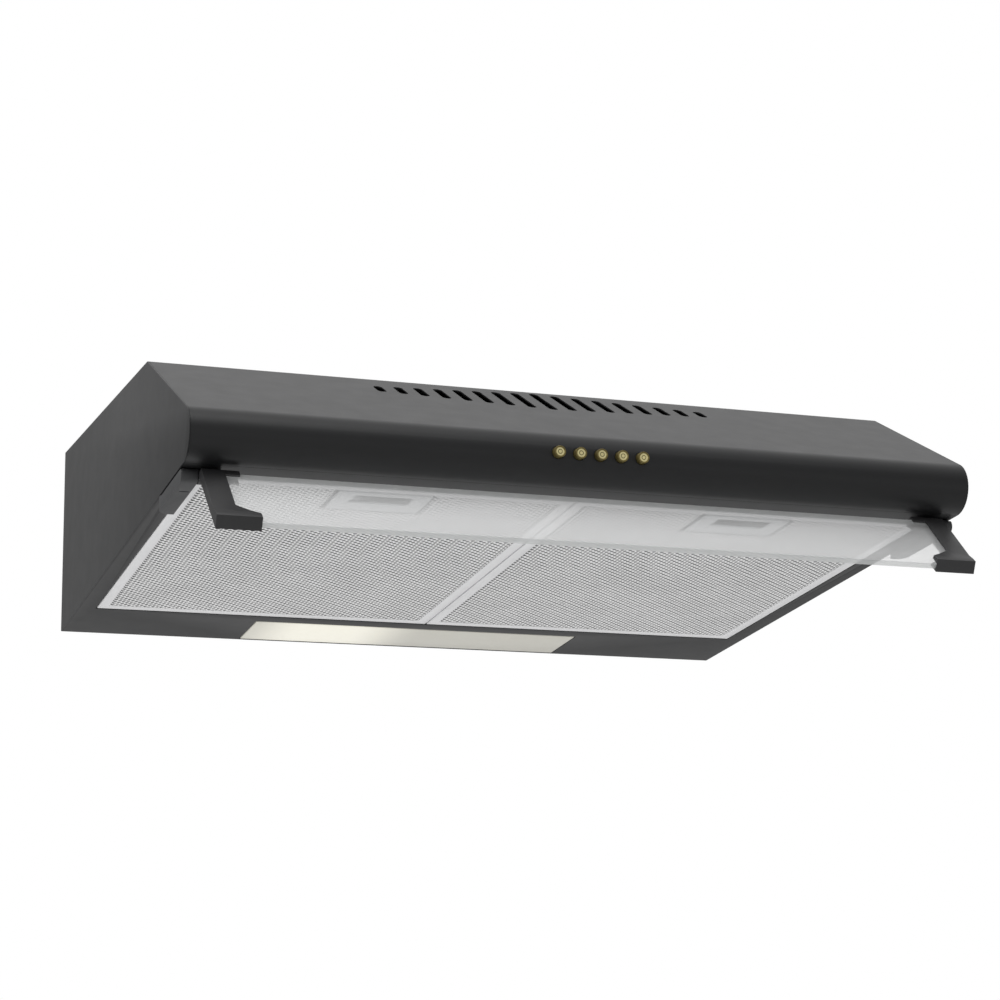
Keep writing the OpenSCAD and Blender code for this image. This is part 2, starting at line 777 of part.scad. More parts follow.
module wiring() place() color([0.1, 0.1, 0.1]) {
  low = casing_z + 4;
  wire([
    [switch_wire_x - 24, -(switch_front - switch_l - 2), button_z],
    [switch_wire_x - 12, -(pan_front + 15), pan_z + 10],
    [switch_wire_x, -(pan_front + 4), pan_z + 10],
    [switch_wire_x + 8, -(pan_front - 22), pan_z + 8],
    [170, -(pan_front - 60), low],
    [gland_x, -150, low],
    [gland_x, gland_y - 20, low + 3],
    [gland_x, gland_y, term_z0 + 2]
  ], 2.5);
  wire([
    [-lamp_half - 5.5, -lamp_mid, lamp_z + 4],
    [lamp_wire[0], -lamp_mid - 4, 36],
    [lamp_wire[0], lamp_wire[1], pan_z],
    [lamp_wire[0] + 10, -20, low + 6],
    [-90, -6.5, low + 6],
    [90, -6.5, low + 6],
    [gland_x - 14, gland_y, low + 12],
    [gland_x - 12, gland_y, term_z0 - 1]
  ], 2);
  wire([
    [fan_x + stator_r - 2.6, fan_y, stator_z + stator_t + 1.5],
    [fan_x + stator_r + 10, fan_y + 2, stator_z + stator_t + 1.5],
    [60, -180, motor_z + 8],
    [105, -130, motor_z - 4],
    [gland_x - 22, gland_y - 8, term_z0 - 10],
    [gland_x - 22, gland_y - 6, term_z0 - 1]
  ], 1.2);
}

function hinge_screw_places() = [block_back + 17, block_back + 52];

module housing_screws() place() color([0.8, 0.8, 0.82]) {
  for (sx = [-1, 1], sy = [-1, 1])
    translate([sx * collar_screw, -duct_back + sy * collar_screw, box_top - collar_t]) mirror([0, 0, 1])
      screw(0, collar_t + sheet * 0.8);
  for (a = lug_angles)
    translate([fan_x, fan_y, 0]) rotate(a) translate([spiral_r(a) + 5, 0, cover_z + wall]) screw(0, 14);
  on_under() for (sx = [-1, 1], a = hinge_screw_places())
    translate([sx * (block_in + block_out) / 2, -a, sheet]) screw(0, 8);
}

// ---- Switches ----

module switch_bracket() place() color([0.75, 0.75, 0.76]) {
  foot_y = -(switch_front - 8);
  top_z = button_z - switch_h / 2;
  foot_z = under_z(foot_y, sheet);
  across(switch_w - 10) polygon([
    [-(switch_front + 4), top_z],
    [-(switch_front + 4), top_z - 1],
    [foot_y - 1, top_z - 1],
    [foot_y - 1, under_z(foot_y - 1, sheet)],
    [foot_y + 12, under_z(foot_y + 12, sheet)],
    [foot_y + 12, under_z(foot_y + 12, sheet) + 1],
    [foot_y, foot_z + 1.2],
    [foot_y, top_z - 1],
    [-(switch_front - switch_l), top_z - 1],
    [-(switch_front - switch_l), top_z]
  ]);
}

module switch_block() place() color([0.12, 0.12, 0.13]) difference() {
  translate([-switch_w / 2, -switch_front, button_z - switch_h / 2]) cube([switch_w, switch_l, switch_h]);
  for (i = [1 : 5])
    translate([button_x(i), -switch_front - 1, button_z]) rotate([-90, 0, 0])
      cylinder(h = 16, r = stem_r + run);
}

// Coil along +Y: radius r, wire radius w, from y = 0 to y = l
module coil(r, w, l, turns) {
  steps = 12 * turns;
  sides = 5;
  rings = [
    for (i = [0 : steps], k = [0 : sides - 1])
      let (a = 360 * turns * i / steps, b = 360 * k / sides, rr = r + w * cos(b))
      [rr * cos(a), w * 1.15 + (l - 2.3 * w) * i / steps + w * sin(b), rr * sin(a)]
  ];
  polyhedron(rings, tube_faces(steps + 1, sides));
}

module button_springs() place() color([0.8, 0.8, 0.82]) {
  from_y = button_flange_y + flange_back_t;
  for (i = [1 : 5])
    translate([button_x(i), from_y, button_z]) coil(3.6, 0.4, -switch_front - from_y, 3);
}

module button(i) place() color([0.72, 0.58, 0.25]) translate([button_x(i), 0, button_z]) rotate([-90, 0, 0])
  difference() {
    union() {
      translate([0, 0, -body_d - button_out]) cylinder(h = button_out + 8, r = button_r, $fn = 48);
      translate([0, 0, button_flange_y]) cylinder(h = flange_back_t, r = button_flange_r);
      translate([0, 0, button_flange_y]) cylinder(h = 19, r = stem_r);
    }
    translate([0, 0, -body_d - button_out - 1]) cylinder(h = 1.5, r = button_r - 1, $fn = 48);
  }

module button_1() button(1);

module button_2() button(2);

module button_3() button(3);

module button_4() button(4);

module button_5() button(5);

// ---- Lamp ----

// Side outline of the lamp pan: its back follows the upright back panel, off in front of it
module lamp_pan_side(off, front, z0, z1) {
  polygon([
    [-back_along(z0, off), z0],
    [-back_along(z1, off), z1],
    [-(lamp_open_front + front), z1],
    [-(lamp_open_front + front), z0]
  ]);
}

module lamp_pan() place() on_under() color([0.85, 0.86, 0.86]) difference() {
  half = lamp_half + lamp_pan_gap;
  union() {
    across(2 * half + 2 * pan_t) lamp_pan_side(0.1, pan_t, sheet, lamp_pan_h);
    for (s = [-1, 1])
      slab(s > 0 ? half : -half - 11, s > 0 ? half + 11 : -half, 8, lamp_front - 6, sheet, 2 * sheet);
  }
  across(2 * half) lamp_pan_side(0.1 + pan_t, 0, -1, lamp_pan_h - pan_t);
  translate([-half - 20, -lamp_axis[0], lamp_axis[1]]) rotate([0, 90, 0])
    cylinder(h = 2 * half + 40, r = lamp_pin_r + run, $fn = 32);
}

module lamp_holder() place() on_under() color([0.92, 0.92, 0.9]) difference() {
  x0 = -lamp_half - lamp_pan_gap;
  union() {
    translate([x0, -lamp_mid, lamp_z]) rotate([0, 90, 0]) cylinder(h = 28, r = 11.5);
    slab(x0, x0 + 3, lamp_mid - 12, lamp_mid + 12, lamp_z - 9, lamp_pan_h - pan_t);
  }
  translate([x0 + 6, -lamp_mid, lamp_z]) rotate([0, 90, 0]) cylinder(h = 30, r = 7 + slip);
}

module lamp() place() on_under() color([1, 0.95, 0.8]) {
  x0 = -lamp_half - lamp_pan_gap + 6.2;
  translate([x0, -lamp_mid, lamp_z]) rotate([0, 90, 0]) {
    cylinder(h = 24, r = 7);
    translate([0, 0, 22.5]) cylinder(h = lamp_glass_l, r = lamp_r, $fn = 64);
    translate([0, 0, 22.5 + lamp_glass_l]) sphere(lamp_r, $fn = 64);
  }
}

module lamp_cover() place() on_under() color([0.93, 0.92, 0.85]) {
  rim = 1.4;
  rim_h = 5.2;
  slab(-lamp_half, lamp_half, lamp_back, lamp_front, 0, 1.6);
  for (s = [-1, 1])
    slab(s > 0 ? lamp_half - rim : -lamp_half, s > 0 ? lamp_half : -lamp_half + rim,
      lamp_back, lamp_front, 1.6 - eps, rim_h);
  slab(-lamp_half, lamp_half, lamp_back, lamp_back + rim, 1.6 - eps, rim_h);
  slab(-lamp_half, lamp_half, lamp_front - rim, lamp_front, 1.6 - eps, rim_h);
  for (s = [-1, 1])
    translate([s > 0 ? lamp_half - eps : -lamp_half - 2.6, -lamp_axis[0], lamp_axis[1]]) rotate([0, 90, 0])
      cylinder(h = 2.6 + eps, r = lamp_pin_r, $fn = 32);
}

// ---- Filters: side is -1 on the left and 1 on the right ----

module on_filter(side) {
  place() on_under() translate([side * filter_mid, 0, 0]) children();
}

module filter_frame(side) on_filter(side) color([0.92, 0.92, 0.93]) difference() {
  skin = 1;
  half = filter_w / 2;
  union() {
    slab(-half, half, filter_back, filter_front, 0, filter_t);
    for (x = [-80, 60])
      slab(x, x + 20, filter_back - 7, filter_back + eps, sheet + 0.4, sheet + 1.9);
  }
  slab(-half + skin, half - skin, filter_back + skin, filter_front - skin, skin, filter_t - skin);
  slab(-half + border_w, half - border_w, filter_back + border_w, filter_front - border_w, -1, skin + eps);
  slab(-half + 6, half - 6, filter_back + 6, filter_front - 6, filter_t - skin - eps, filter_t + 1);
  slab(-tongue_w / 2 - 0.6, tongue_w / 2 + 0.6, filter_front - 5, filter_front + 1, skin, skin + 1.8);
}

module filter_mesh(side) on_filter(side) color([0.78, 0.79, 0.8]) difference() {
  skin = 1;
  half = filter_w / 2 - skin - 0.2;
  slab(-half, half, filter_back + skin + 0.2, filter_front - skin - 0.2, skin, skin + 2);
  slab(-slide_body_half - 3, slide_body_half + 3, latch_back + 2, filter_front + 5, -1, skin + 5);
}

module latch_plate(side) on_filter(side) color([0.86, 0.87, 0.88]) {
  rail_in = slide_body_half + 0.4;
  difference() {
    slab(-latch_w / 2, latch_w / 2, latch_back, latch_front, -0.8, 1);
    slab(-slide_half - 0.4, slide_half + 0.4,
      slide_front - slide_face_l - latch_travel - 0.5, slide_front + 0.4, -2, 2);
  }
  for (s = [-1, 1])
    slab(s > 0 ? rail_in : -rail_in - 1.6, s > 0 ? rail_in + 1.6 : -rail_in,
      latch_back + 3, latch_front - 1, 1 - eps, 6);
  slab(-rail_in, rail_in, latch_back + 3, latch_back + 4.6, 1 - eps, 6);
}

module latch_slide(side) on_filter(side) color([0.8, 0.81, 0.82]) difference() {
  face_back = slide_front - slide_face_l;
  union() {
    slab(-slide_body_half, slide_body_half, slide_back, slide_front, 1.4, 6.8);
    slab(-slide_half, slide_half, face_back, slide_front, -0.5, 1.5);
  }
  slab(-recess_w / 2, recess_w / 2, slide_front - 0.7 - recess_l, slide_front - 0.7, -2, 5.6);
}

module latch_spring(side) on_filter(side) color([0.7, 0.71, 0.73]) across(tongue_w) polygon([
  [-(filter_front + 5.4), 1.5],
  [-(filter_front + 5.4), 1.5 + tongue_t],
  [-(slide_front + tongue_t), 1.5 + tongue_t],
  [-(slide_front + tongue_t), 6.8 + tongue_t],
  [-slide_back, 6.8 + tongue_t],
  [-(latch_back + 4.8), 4.4],
  [-(latch_back + 5.2), 3.8],
  [-slide_back + 0.2, 6.8],
  [-slide_front, 6.8],
  [-slide_front, 1.5]
]);

module left_filter_frame() filter_frame(-1);

module left_filter_mesh() filter_mesh(-1);

module left_latch_plate() latch_plate(-1);

module left_latch_slide() latch_slide(-1);

module left_latch_spring() latch_spring(-1);

module right_filter_frame() filter_frame(1);

module right_filter_mesh() filter_mesh(1);

module right_latch_plate() latch_plate(1);

module right_latch_slide() latch_slide(1);

module right_latch_spring() latch_spring(1);

// ---- Visor ----

module hinge_block(side) place() on_under() color([0.2, 0.2, 0.21]) mirror([side < 0 ? 1 : 0, 0, 0])
  difference() {
    corner_r = 8;
    intersection() {
      across(block_out - block_in, (block_in + block_out) / 2) {
        translate([-pivot_along, -block_h]) square([block_len, block_h]);
        translate([-pivot_along, pivot_under]) circle(barrel_r);
      }
      translate([0, 0, -50]) linear_extrude(60) {
        plan(block_in, block_out - corner_r, block_back, under_len);
        plan(block_in, block_out, block_back + corner_r, under_len);
        translate([block_out - corner_r, -(block_back + corner_r)]) circle(corner_r);
      }
    }
    slab(block_out - 1.8, block_out + 5, block_back + 12, under_len, -1.3, 5);
    slab(block_in + 1, block_in + 8, pivot_along - 19, pivot_along - 17.4, -block_h - 5, -block_h + 1.2);
    translate([block_in - 5, -pivot_along, pivot_under]) rotate([0, 90, 0])
      cylinder(h = 5 + block_out - block_in - 2, r = pivot_r);
    for (a = hinge_screw_places())
      translate([(block_in + block_out) / 2, -a, -7.2]) cylinder(h = 20, r = screw_r);
  }

module left_hinge_block() hinge_block(-1);

module right_hinge_block() hinge_block(1);

module hinge_pins() place() on_under() color([0.8, 0.8, 0.82]) for (s = [-1, 1])
  mirror([s < 0 ? 1 : 0, 0, 0])
    translate([arm_out - 10, -pivot_along, pivot_under]) rotate([0, 90, 0])
      cylinder(h = block_out - 2.2 - arm_out + 10, r = pivot_r);

// Visor frame: -Y runs down the glass from the pivot, Z is the glass's front
module in_visor() {
  p = under_pt(pivot_along, pivot_under);
  place() translate([0, p[0], p[1]]) rotate([visor_rest, 0, 0]) children();
}

module visor_bracket(side) in_visor() color([0.15, 0.15, 0.16]) mirror([side < 0 ? 1 : 0, 0, 0])
  difference() {
    union() {
      intersection() {
        across(60, arm_out - 20) polygon([
          [-3, -1.4],
          [-7, 2.7],
          [-60, 3.4],
          [-visor_len, 3.6],
          [-visor_len + 3.4, 12.6],
          [-visor_len + 8, 12.2],
          [-visor_len + 14, 11],
          [-14, 10.8],
          [-6.5, 10.8],
          [-5.2, 9.4],
          [-3, 5.4]
        ]);
        translate([0, 0, -20]) linear_extrude(60) {
          plan(arm_in, arm_out, 0, visor_len);
          plan(clip_in, arm_out, 5, 12);
          polygon([
            [arm_out - 1, -visor_len],
            [foot_in, -visor_len],
            [foot_in, -visor_len + 10],
            [arm_in, -visor_len + 20],
            [arm_out - 1, -visor_len + 20]
          ]);
        }
      }
      translate([arm_in, 0, 0]) rotate([0, 90, 0]) cylinder(h = arm_w, r = barrel_r);
    }
    slab(0, arm_in + groove_depth + slip, glass_top - slip, glass_end + slip,
      glass_low - slip, glass_low + glass_t + slip);
    translate([arm_out - 10.5, 0, 0]) rotate([0, 90, 0]) cylinder(h = 20, r = pivot_r + run);
  }

module left_visor_bracket() visor_bracket(-1);

module right_visor_bracket() visor_bracket(1);

module visor_glass() in_visor() color([0.75, 0.78, 0.78, 0.5])
  slab(-arm_in - groove_depth, arm_in + groove_depth, glass_top, glass_end, glass_low, glass_low + glass_t);

canopy();
left_side();
right_side();
back_panel();
underside_panel();
centre_bar();
inner_pan();
scroll_casing();
scroll_cover();
inlet_grille();
impeller();
rotor();
motor_shaft();
motor_stator();
motor_windings();
motor_lower_bracket();
motor_upper_bracket();
motor_bushes();
motor_screws();
outlet_box();
duct_collar();
flap_pin();
rear_flap();
front_flap();
diverter_flap();
capacitor();
terminal_box();
terminal_lid();
cable_gland();
wiring();
housing_screws();
switch_bracket();
switch_block();
button_springs();
button_1();
button_2();
button_3();
button_4();
button_5();
lamp_pan();
lamp_holder();
lamp();
lamp_cover();
left_hinge_block();
right_hinge_block();
hinge_pins();
left_filter_frame();
left_filter_mesh();
left_latch_plate();
left_latch_slide();
left_latch_spring();
right_filter_frame();
right_filter_mesh();
right_latch_plate();
right_latch_slide();
right_latch_spring();
left_visor_bracket();
right_visor_bracket();
visor_glass();
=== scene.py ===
import json
import math

import bmesh
import bpy
from mathutils import Matrix, Vector


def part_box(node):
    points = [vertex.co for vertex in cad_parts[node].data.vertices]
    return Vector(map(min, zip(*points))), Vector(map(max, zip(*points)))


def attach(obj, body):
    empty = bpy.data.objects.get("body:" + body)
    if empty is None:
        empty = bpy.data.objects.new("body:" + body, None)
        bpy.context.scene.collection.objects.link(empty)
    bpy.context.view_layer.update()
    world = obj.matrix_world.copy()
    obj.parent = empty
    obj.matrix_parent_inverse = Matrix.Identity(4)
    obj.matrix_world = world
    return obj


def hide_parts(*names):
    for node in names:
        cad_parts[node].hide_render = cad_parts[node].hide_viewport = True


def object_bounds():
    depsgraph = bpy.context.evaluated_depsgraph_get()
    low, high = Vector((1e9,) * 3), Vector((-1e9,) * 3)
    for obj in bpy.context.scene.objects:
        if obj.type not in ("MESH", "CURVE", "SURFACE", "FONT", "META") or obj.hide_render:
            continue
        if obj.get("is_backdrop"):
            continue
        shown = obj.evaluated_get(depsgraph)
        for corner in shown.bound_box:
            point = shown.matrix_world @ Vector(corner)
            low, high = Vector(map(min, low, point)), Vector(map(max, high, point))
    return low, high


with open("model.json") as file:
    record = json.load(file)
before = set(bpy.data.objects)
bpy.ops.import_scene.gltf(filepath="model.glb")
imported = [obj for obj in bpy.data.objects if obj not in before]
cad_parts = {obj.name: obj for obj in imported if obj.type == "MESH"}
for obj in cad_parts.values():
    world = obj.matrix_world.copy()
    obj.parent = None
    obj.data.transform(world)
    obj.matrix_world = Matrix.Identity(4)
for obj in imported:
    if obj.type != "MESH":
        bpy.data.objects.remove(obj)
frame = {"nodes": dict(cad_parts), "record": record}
cad_low, cad_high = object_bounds()
record = frame["record"]
nodes = frame["nodes"]
scene = bpy.context.scene
MM = 0.001


# ---- Materials ----

class Nodes:
    """A material's node tree, with short calls to add and link nodes."""

    def __init__(self, name):
        self.mat = bpy.data.materials.new(name)
        self.mat.use_nodes = True
        self.tree = self.mat.node_tree
        self.bsdf = self.tree.nodes["Principled BSDF"]
        self.out = self.tree.nodes["Material Output"]

    def add(self, kind, **inputs):
        node = self.tree.nodes.new(kind)
        for key, value in inputs.items():
            node.inputs[key.replace("_", " ")].default_value = value
        return node

    def link(self, a, b):
        self.tree.links.new(a, b)

    def coords(self, scale=(1, 1, 1), turn=(0, 0, 0)):
        tex = self.add("ShaderNodeTexCoord")
        mapping = self.add("ShaderNodeMapping")
        mapping.inputs["Scale"].default_value = scale
        mapping.inputs["Rotation"].default_value = turn
        self.link(tex.outputs["Object"], mapping.inputs["Vector"])
        return mapping.outputs["Vector"]

    def noise(self, size_mm, detail=3.0, vector=None):
        node = self.add("ShaderNodeTexNoise", Scale=1 / (size_mm * MM), Detail=detail)
        self.link(vector or self.coords(), node.inputs["Vector"])
        return node.outputs["Fac"]

    def ramp(self, fac, low, high, start=0.0, end=1.0):
        node = self.add("ShaderNodeMapRange")
        node.inputs["From Min"].default_value = start
        node.inputs["From Max"].default_value = end
        node.inputs["To Min"].default_value = low
        node.inputs["To Max"].default_value = high
        self.link(fac, node.inputs["Value"])
        return node.outputs["Result"]

    def mix(self, fac, a, b):
        node = self.tree.nodes.new("ShaderNodeMix")
        node.data_type = "RGBA"
        node.inputs["A"].default_value = (*a, 1)
        node.inputs["B"].default_value = (*b, 1)
        self.link(fac, node.inputs["Factor"])
        return node.outputs["Result"]

    def bump(self, height, depth_mm, strength=1.0):
        node = self.add("ShaderNodeBump", Strength=strength, Distance=depth_mm * MM)
        self.link(height, node.inputs["Height"])
        self.link(node.outputs["Normal"], self.bsdf.inputs["Normal"])

    def set(self, **inputs):
        for key, value in inputs.items():
            self.bsdf.inputs[key.replace("_", " ")].default_value = value
        return self


def soft_finish(name, color, rough, spread=0.05, grain_mm=0.6, depth_mm=0.01, shade=0.12, **extra):
    """A finish with a fine grain in its bump and cloudy changes in shade and roughness."""
    m = Nodes(name)
    m.set(**extra)
    cloud = m.noise(45.0, 4.0)
    dark = tuple(c * (1 - shade) for c in color)
    light = tuple(min(1, c * (1 + shade)) for c in color)
    m.link(m.mix(m.ramp(cloud, 0, 1, 0.3, 0.7), dark, light), m.bsdf.inputs["Base Color"])
    m.link(m.ramp(m.noise(18.0, 5.0), rough - spread, rough + spread, 0.3, 0.7), m.bsdf.inputs["Roughness"])
    m.bump(m.noise(grain_mm, 2.0), depth_mm, 0.5)
    return m.mat


def brushed(name, color, rough, stretch, **extra):
    """Metal with fine lines that run along one axis."""
    m = Nodes(name)
    m.set(Metallic=1.0, **extra)
    lines = m.noise(0.5, 4.0, m.coords(stretch))
    dark = tuple(c * 0.86 for c in color)
    m.link(m.mix(lines, dark, color), m.bsdf.inputs["Base Color"])
    m.link(m.ramp(lines, rough - 0.07, rough + 0.07, 0.3, 0.7), m.bsdf.inputs["Roughness"])
    m.bump(lines, 0.01, 0.35)
    return m.mat


paint = soft_finish(
    "black_paint", (0.014, 0.0143, 0.015), 0.42, 0.015, 0.7, 0.008, 0.03, Specular_IOR_Level=0.32)
plastic = soft_finish("black_plastic", (0.026, 0.026, 0.027), 0.5, 0.05, 0.35, 0.02, 0.12)
block_plastic = soft_finish("block_plastic", (0.040, 0.041, 0.043), 0.55, 0.03, 0.35, 0.02, 0.04)
white_plastic = soft_finish("white_plastic", (0.80, 0.80, 0.78), 0.45, 0.05, 0.5, 0.01, 0.03)
filter_white = soft_finish("filter_white", (0.86, 0.86, 0.87), 0.4, 0.05, 0.8, 0.01, 0.02)
latch_grey = soft_finish("latch_grey", (0.62, 0.63, 0.64), 0.42, 0.05, 0.6, 0.01, 0.03)
brass = soft_finish("brass", (0.17, 0.135, 0.045), 0.36, 0.06, 0.3, 0.006, 0.10, Metallic=0.6)
brass_face = soft_finish("brass_face", (0.74, 0.66, 0.34), 0.42, 0.06, 0.3, 0.006, 0.08, Metallic=0.5)
copper = brushed("copper_wire", (0.72, 0.36, 0.18), 0.35, (1, 1, 12))
galvanised = brushed("galvanised", (0.60, 0.62, 0.64), 0.38, (1, 0.04, 1))
bright_steel = brushed("bright_steel", (0.70, 0.71, 0.73), 0.24, (1, 1, 0.05))
mesh_metal = soft_finish("mesh_aluminium", (0.94, 0.94, 0.94), 0.45, 0.08, 0.5, 0.01, 0.04, Metallic=0.2)
# Inner layers of the filter, seen through the diamonds: painted shade, near-black for the shade deep in the
# filter, not the aluminium's own colour
mesh_inner_shade = soft_finish("mesh_inner_layers_painted_shade", (0.10, 0.10, 0.105), 0.6, 0.08, 0.8, 0.03, 0.25)


def make_glass():
    """Pale, slightly milky sheet glass: a clear part and a veil part."""
    m = Nodes("visor_glass")
    m.set(Roughness=0.2, Alpha=0.40, IOR=1.45)
    cloud = m.noise(60.0, 3.0)
    m.link(m.mix(cloud, (0.80, 0.805, 0.805), (0.83, 0.835, 0.835)), m.bsdf.inputs["Base Color"])
    return m.mat


def make_edge_glass():
    m = Nodes("visor_glass_edge")
    m.set(Roughness=0.25, Alpha=0.6, IOR=1.45)
    m.link(m.mix(m.noise(12.0, 3.0), (0.68, 0.70, 0.695), (0.74, 0.755, 0.75)), m.bsdf.inputs["Base Color"])
    return m.mat


def make_diffuser():
    """Cream plastic panel lit from inside: the glow is brightest over the lamp, on its left half."""
    m = Nodes("lamp_diffuser")
    m.set(Roughness=0.3, IOR=1.45)
    m.link(m.mix(m.noise(30.0, 3.0), (0.62, 0.605, 0.54), (0.65, 0.635, 0.57)), m.bsdf.inputs["Base Color"])
    low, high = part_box("lamp")
    centre = (low.x + high.x) / 2 + 6 * MM
    tex = m.add("ShaderNodeTexCoord")
    split = m.add("ShaderNodeSeparateXYZ")
    m.link(tex.outputs["Object"], split.inputs[0])
    away = m.tree.nodes.new("ShaderNodeMath")
    away.operation = "SUBTRACT"
    away.inputs[1].default_value = centre
    m.link(split.outputs["X"], away.inputs[0])
    size = m.tree.nodes.new("ShaderNodeMath")
    size.operation = "ABSOLUTE"
    m.link(away.outputs[0], size.inputs[0])
    glow = m.add("ShaderNodeMapRange")
    glow.interpolation_type = "SMOOTHSTEP"
    for key, value in (("From Min", 0.022), ("From Max", 0.085), ("To Min", 1.0), ("To Max", 0.0)):
        glow.inputs[key].default_value = value
    m.link(size.outputs[0], glow.inputs["Value"])
    m.link(m.ramp(glow.outputs["Result"], 0.06, 0.42), m.bsdf.inputs["Emission Strength"])
    m.set(Emission_Color=(1.0, 0.97, 0.84, 1))
    m.bump(m.noise(2.5, 1.0, m.coords((1, 0.05, 1))), 0.03, 0.4)
    return m.mat


def make_bulb():
    m = Nodes("lamp_bulb")
    m.set(Roughness=0.35, Emission_Color=(1.0, 0.9, 0.7, 1), Emission_Strength=1.2)
    m.link(m.mix(m.noise(8.0, 2.0), (0.92, 0.90, 0.82), (0.97, 0.95, 0.88)), m.bsdf.inputs["Base Color"])
    return m.mat


glass = make_glass()
glass_edge = make_edge_glass()
diffuser = make_diffuser()
bulb = make_bulb()

BY_SLOT = {
    "black_steel": paint,
    "galvanised": galvanised,
    "black_plastic": plastic,
    "white_plastic": white_plastic,
    "brass": brass,
    "copper": copper,
    "bright_steel": bright_steel,
    "filter_white": filter_white,
    "filter_aluminium": latch_grey,
    "visor_glass": glass,
    "lamp_glass": bulb,
    "lamp_diffuser": diffuser,
}
slot_of = {s["node"]: s["material_slot"] for s in record["subparts"]}
body_of = {n: b for b, members in record["behaviour"]["bodies"].items() for n in members}
for name, obj in nodes.items():
    obj.data.materials.clear()
    obj.data.materials.append(BY_SLOT[slot_of[name]])


# ---- Softer edges on the pieces that show ----

def rounded(node, width_mm, segments=2, angle=30.0, mat=None):
    """Stands in for a CAD node: the same mesh with its sharp edges rounded off."""
    source = nodes[node]
    mesh = source.data.copy()
    obj = bpy.data.objects.new(node + "_soft", mesh)
    scene.collection.objects.link(obj)
    bm = bmesh.new()
    bm.from_mesh(mesh)
    bmesh.ops.remove_doubles(bm, verts=bm.verts, dist=1e-6)
    bmesh.ops.dissolve_limit(bm, angle_limit=math.radians(0.5), verts=bm.verts, edges=bm.edges)
    bm.to_mesh(mesh)
    bm.free()
    bevel = obj.modifiers.new("bevel", "BEVEL")
    bevel.width = width_mm * MM
    bevel.segments = segments
    bevel.limit_method = "ANGLE"
    bevel.angle_limit = math.radians(angle)
    bpy.context.view_layer.update()
    done = bpy.data.meshes.new_from_object(obj.evaluated_get(bpy.context.evaluated_depsgraph_get()))
    obj.modifiers.clear()
    obj.data = done
    done.shade_smooth()
    done.set_sharp_from_angle(angle=math.radians(35))
    done.materials.clear()
    done.materials.append(mat or BY_SLOT[slot_of[node]])
    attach(obj, body_of[node])
    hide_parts(node)
    return obj


def smooth_node(node, angle=35.0):
    """Curved faces of a kept CAD node shade smoothly."""
    mesh = nodes[node].data
    mesh.shade_smooth()
    mesh.set_sharp_from_angle(angle=math.radians(angle))


for side in ("left", "right"):
    rounded(side + "_visor_bracket", 1.2, 3)
    rounded(side + "_hinge_block", 0.8, 3, mat=block_plastic)
    rounded(side + "_side", 0.3, 2)
    rounded(side + "_latch_plate", 0.35, 2)
    rounded(side + "_latch_slide", 0.4, 2)
    rounded(side + "_filter_frame", 0.5, 2)
rounded("underside_panel", 0.25, 2)
rounded("lamp_cover", 0.6, 3)
visor = rounded("visor_glass", 0.5, 2)
visor.data.materials.append(glass_edge)
long_faces = sorted(visor.data.polygons, key=lambda p: -p.area)[:2]
face_area = long_faces[0].area
for poly in visor.data.polygons:
    poly.material_index = 0 if poly.area > 0.5 * face_area else 1


# ---- Buttons with a paler face and an inner ring ----

def lathe(name, profile, place, axis_turn, mats, steps=64):
    """Turned piece from (radius, height, material) points; both ends close on the axis."""
    bm = bmesh.new()
    rings = []
    for radius, height, _ in profile:
        if radius < 1e-9:
            rings.append([bm.verts.new((0, 0, height))])
        else:
            turns = [2 * math.pi * k / steps for k in range(steps)]
            rings.append([bm.verts.new((radius * math.cos(a), radius * math.sin(a), height)) for a in turns])
    for i in range(len(rings) - 1):
        a, b = rings[i], rings[i + 1]
        for k in range(steps):
            n = (k + 1) % steps
            if len(a) == 1:
                corners = (a[0], b[n], b[k])
            elif len(b) == 1:
                corners = (a[k], a[n], b[0])
            else:
                corners = (a[k], a[n], b[n], b[k])
            bm.faces.new(corners).material_index = profile[i][2]
    bmesh.ops.recalc_face_normals(bm, faces=bm.faces)
    mesh = bpy.data.meshes.new(name)
    bm.to_mesh(mesh)
    bm.free()
    mesh.transform(Matrix.Translation(place) @ axis_turn)
    for mat in mats:
        mesh.materials.append(mat)
    mesh.shade_smooth()
    mesh.set_sharp_from_angle(angle=math.radians(32))
    obj = bpy.data.objects.new(name, mesh)
    scene.collection.objects.link(obj)
    return obj


TO_FRONT = Matrix.Rotation(math.radians(90), 4, "X")
CAP_R = 4.3 * MM
STEM_R = 2.2 * MM
# From the face to the front and the back of a button's flange
CAP_L = 11.6 * MM
FLANGE_BACK = 13.1 * MM
for i in range(1, 6):
    low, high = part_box(f"button_{i}")
    centre = (low + high) / 2
    flange_r = (high.x - low.x) / 2
    length = high.y - low.y
    profile = [
        (0, 0.55 * MM, 1),
        (1.25 * MM, 0.50 * MM, 0),
        (1.45 * MM, 0.85 * MM, 0),
        (1.75 * MM, 0.50 * MM, 1),
        (CAP_R - 1.25 * MM, 0.45 * MM, 0),
        (CAP_R - 0.95 * MM, 0.05 * MM, 0),
        (CAP_R - 0.45 * MM, 0, 0),
        (CAP_R - 0.12 * MM, 0.14 * MM, 0),
        (CAP_R, 0.5 * MM, 0),
        (CAP_R, CAP_L, 0),
        (flange_r, CAP_L, 0),
        (flange_r, FLANGE_BACK, 0),
        (STEM_R, FLANGE_BACK, 0),
        (STEM_R, length, 0),
        (0, length, 0),
    ]
    turned = [(r, -h, m) for r, h, m in profile]
    place = Vector((centre.x, low.y, centre.z))
    button = lathe(f"button_{i}_turned", turned, place, TO_FRONT, [brass, brass_face])
    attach(button, f"button_{i}")
    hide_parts(f"button_{i}")


# ---- Expanded metal in the filters ----

def underside_axes():
    """Directions forward along the underside and up into the hood, from the latch slide's axis."""
    axis = next(j["axis"] for j in record["behaviour"]["joints"] if j["name"] == "left_latch_slide")
    forward = -Vector(axis).normalized()
    up = Vector((0, forward.z, -forward.y))
    return forward, up


